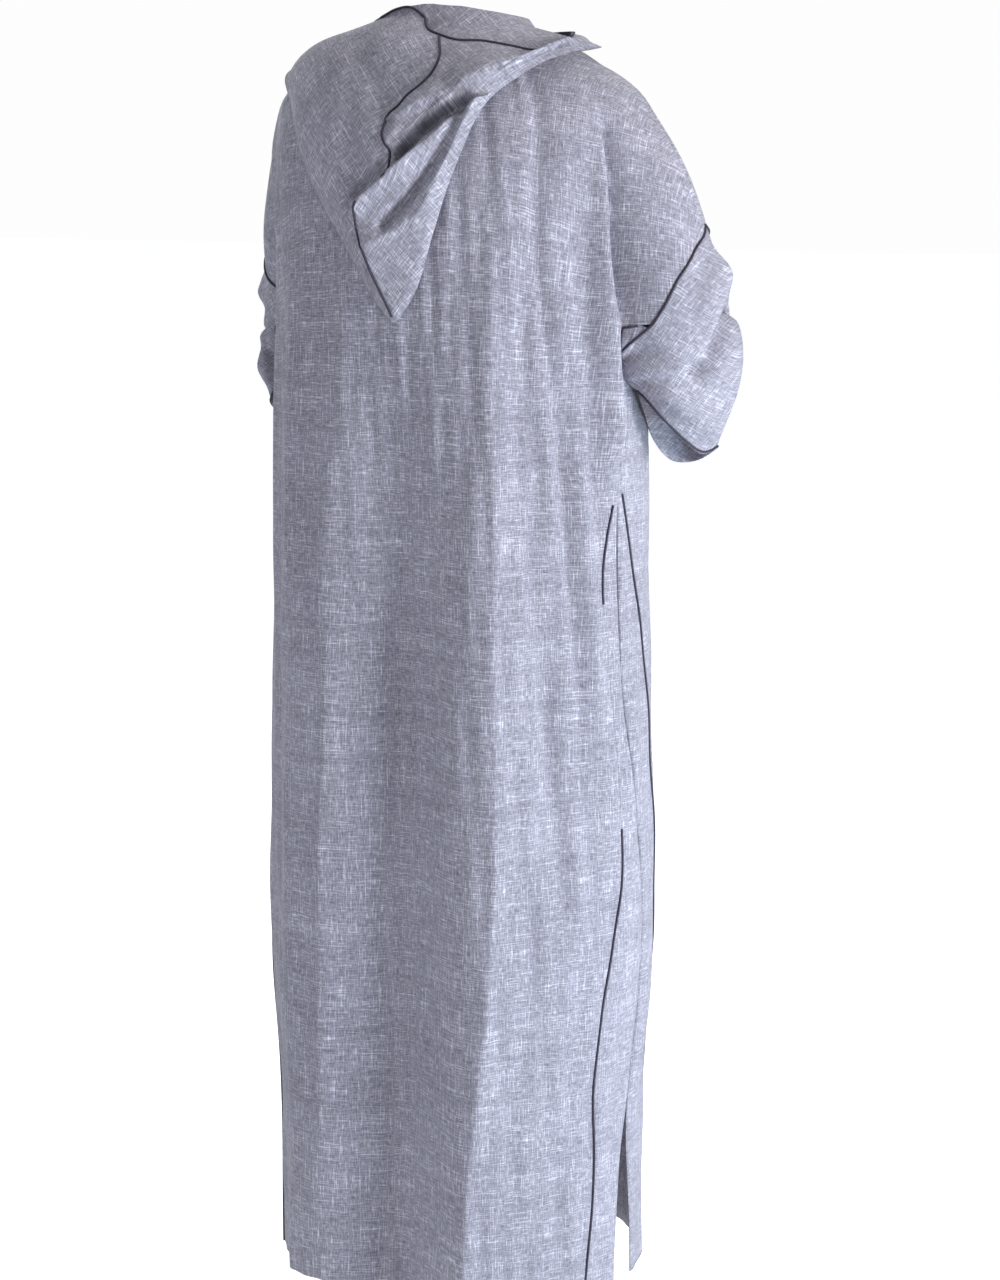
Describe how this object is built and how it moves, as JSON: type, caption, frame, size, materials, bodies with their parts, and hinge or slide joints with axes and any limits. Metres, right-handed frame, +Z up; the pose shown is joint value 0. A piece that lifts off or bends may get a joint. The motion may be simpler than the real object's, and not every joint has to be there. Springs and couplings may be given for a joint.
{
  "type": "hooded robe",
  "caption": "Ankle-length loose hooded robe in slubbed grey-lilac cloth, with wide sleeves, side gores, side slits and dark piping along its seams.",
  "frame": {"origin": "centre of the neck opening, level with the neck seam, where the robe rests on its wearer", "axes": "+Z up along the robe, -Y the way the wearer faces, -X the wearer's right"},
  "size_m": [0.618, 0.3814, 1.4894],
  "materials": {
    "slubbed_cloth": "matt slubbed linen-look weave, grey-lilac",
    "piping_cloth": "dark navy piping, slightly smooth"
  },
  "bodies": {
    "root": {"back_panel": "slubbed_cloth", "front_panel": "slubbed_cloth", "gore_back_right": "slubbed_cloth", "gore_back_left": "slubbed_cloth", "gore_front_right": "slubbed_cloth", "gore_front_left": "slubbed_cloth", "gusset_right": "slubbed_cloth", "gusset_left": "slubbed_cloth", "sleeve_right": "slubbed_cloth", "sleeve_left": "slubbed_cloth", "hood_right": "slubbed_cloth", "hood_left": "slubbed_cloth", "armhole_piping_right": "piping_cloth", "armhole_piping_left": "piping_cloth", "gusset_piping_back_right": "piping_cloth", "gusset_piping_back_left": "piping_cloth", "gusset_piping_front_right": "piping_cloth", "gusset_piping_front_left": "piping_cloth", "pocket_piping_right": "piping_cloth", "pocket_piping_left": "piping_cloth", "gore_piping_back_right": "piping_cloth", "gore_piping_back_left": "piping_cloth", "gore_piping_front_right": "piping_cloth", "gore_piping_front_left": "piping_cloth", "cuff_piping_right": "piping_cloth", "cuff_piping_left": "piping_cloth", "hood_rim_piping": "piping_cloth", "hood_seam_piping": "piping_cloth"}
  },
  "joints": []
}
